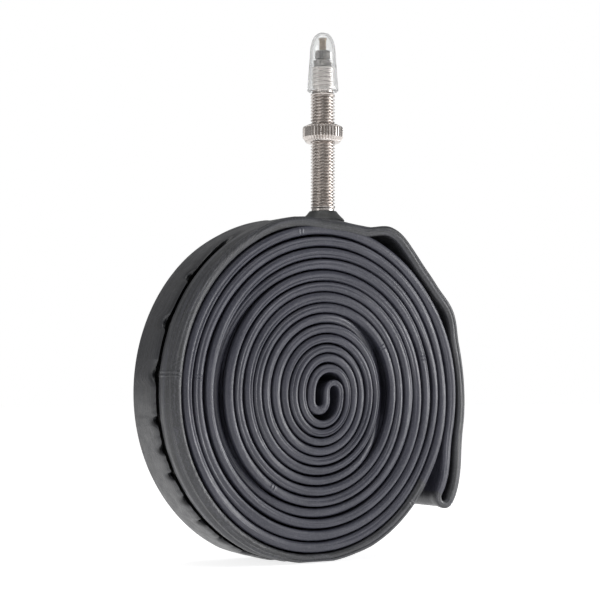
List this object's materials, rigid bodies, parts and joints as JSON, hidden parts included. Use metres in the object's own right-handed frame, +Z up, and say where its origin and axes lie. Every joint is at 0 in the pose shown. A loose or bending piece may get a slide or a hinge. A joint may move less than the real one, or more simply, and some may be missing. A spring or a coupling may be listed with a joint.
{
  "type": "bicycle inner tube",
  "caption": "Bicycle inner tube pressed flat and rolled into a double spiral, with a threaded Presta valve, knurled lock ring and clear dust cap on top.",
  "frame": {"origin": "on the surface that the roll stands on, below the middle of the object's box", "axes": "+Z up along the valve; +Y back along the roll's axis, with the open face towards -Y; +X to the right of that face"},
  "size_m": [0.0806, 0.0216, 0.1283],
  "materials": {
    "butyl_rubber": "moulded butyl rubber, satin, with a thin haze of talc",
    "seal_rubber": "plain black seal rubber",
    "nickel": "nickel-plated brass, slightly warm",
    "brass": "bare brass with a pale peened tip",
    "clear_plastic": "clear moulded plastic, slightly milky"
  },
  "bodies": {
    "tube": {"inner_tube": "butyl_rubber", "valve_base": "butyl_rubber", "valve_stem": "nickel"},
    "rim_nut": {"rim_nut": "nickel"},
    "dust_cap": {"dust_cap": "clear_plastic"},
    "core": {"core_body": "nickel", "core_gasket": "seal_rubber"},
    "pin": {"core_pin": "brass", "core_seal": "seal_rubber"},
    "core_nut": {"core_nut": "nickel"}
  },
  "joints": [
    {"name": "rim_nut_travel", "type": "slide", "parent": "tube", "child": "rim_nut", "axis": [0, 0, 1], "range_m": [-0.0161, 0.0078]},
    {"name": "dust_cap_lift", "type": "slide", "parent": "tube", "child": "dust_cap", "axis": [0, 0, 1], "range_m": [0, 0.016]},
    {"name": "core_turn", "type": "hinge", "parent": "tube", "child": "core", "pos_m": [0.0056, 0, 0.12], "axis": [0, 0, 1], "range_deg": [0, 180]},
    {"name": "pin_press", "type": "slide", "parent": "core", "child": "pin", "axis": [0, 0, 1], "range_m": [-0.002, 0]},
    {"name": "core_nut_unscrew", "type": "slide", "parent": "core", "child": "core_nut", "axis": [0, 0, 1], "range_m": [0, 0.002]}
  ]
}
